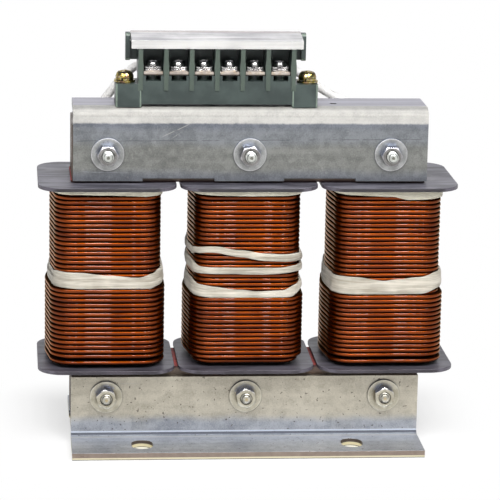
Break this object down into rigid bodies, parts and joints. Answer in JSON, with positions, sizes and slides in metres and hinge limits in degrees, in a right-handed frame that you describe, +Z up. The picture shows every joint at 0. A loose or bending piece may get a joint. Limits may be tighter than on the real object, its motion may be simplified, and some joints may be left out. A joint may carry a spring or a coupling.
{
  "type": "three-phase line reactor",
  "caption": "Line reactor with wound coils on a laminated core, slotted mounting feet and a covered terminal block on top.",
  "frame": {"origin": "middle of the footprint on the underside of the feet", "axes": "+X along the core, towards the right coil seen from the front; +Y through the depth, to the rear; +Z up"},
  "size_m": [0.226, 0.11, 0.2236],
  "materials": {
    "laminations": "brown varnished electrical steel laminations",
    "gap_paper": "red insulating sheet",
    "galvanised_sheet": "galvanised sheet steel, matt with stains",
    "zinc_hardware": "bright zinc-plated steel",
    "former_moulding": "dark grey filled moulding",
    "enamelled_copper": "enamelled copper wire, glossy red-brown",
    "lacing_tape": "off-white woven lacing tape",
    "stud_insulation": "insulating tube",
    "block_moulding": "grey-green thermoset moulding",
    "terminal_plating": "nickel-plated brass and steel",
    "clear_cover": "clear moulded plastic",
    "yellow_zinc": "yellow passivated zinc plating on steel",
    "lead_sleeving": "white woven sleeving over the winding ends"
  },
  "bodies": {
    "reactor": {"lower_yoke": "laminations", "upper_yoke": "laminations", "leg_left": "laminations", "leg_middle": "laminations", "leg_right": "laminations", "gap_sheet_lower": "gap_paper", "gap_sheet_upper": "gap_paper", "clamp_upper_front": "galvanised_sheet", "clamp_upper_rear": "galvanised_sheet", "clamp_lower_front": "galvanised_sheet", "clamp_lower_rear": "galvanised_sheet", "studs_upper": "zinc_hardware", "studs_lower": "zinc_hardware", "washers_front": "zinc_hardware", "washers_rear": "zinc_hardware", "nuts_front": "zinc_hardware", "nuts_rear": "zinc_hardware", "bobbin_left_front": "former_moulding", "bobbin_left_rear": "former_moulding", "bobbin_middle_front": "former_moulding", "bobbin_middle_rear": "former_moulding", "bobbin_right_front": "former_moulding", "bobbin_right_rear": "former_moulding", "winding_left": "enamelled_copper", "winding_middle": "enamelled_copper", "winding_right": "enamelled_copper", "tape_top_left": "lacing_tape", "tape_top_middle": "lacing_tape", "tape_top_right": "lacing_tape", "tape_waist_left": "lacing_tape", "tape_waist_middle": "lacing_tape", "tape_waist_right": "lacing_tape", "stud_sleeves": "stud_insulation", "terminal_block": "block_moulding", "terminal_bars": "terminal_plating", "terminal_washers_lower": "terminal_plating", "terminal_washers_upper": "terminal_plating", "terminal_screws": "terminal_plating", "block_screws": "yellow_zinc", "block_washers_flat": "yellow_zinc", "block_washers_spring": "yellow_zinc", "block_nuts": "yellow_zinc", "lead_1": "lead_sleeving", "lead_2": "lead_sleeving", "lead_3": "lead_sleeving", "lead_4": "lead_sleeving", "lead_5": "lead_sleeving", "lead_6": "lead_sleeving"},
    "cover": {"terminal_cover": "clear_cover"}
  },
  "joints": [
    {"name": "cover_hinge", "type": "hinge", "parent": "reactor", "child": "cover", "pos_m": [-0.01785, -0.0036, 0.221], "axis": [-1, 0, 0], "range_deg": [0, 100]}
  ]
}
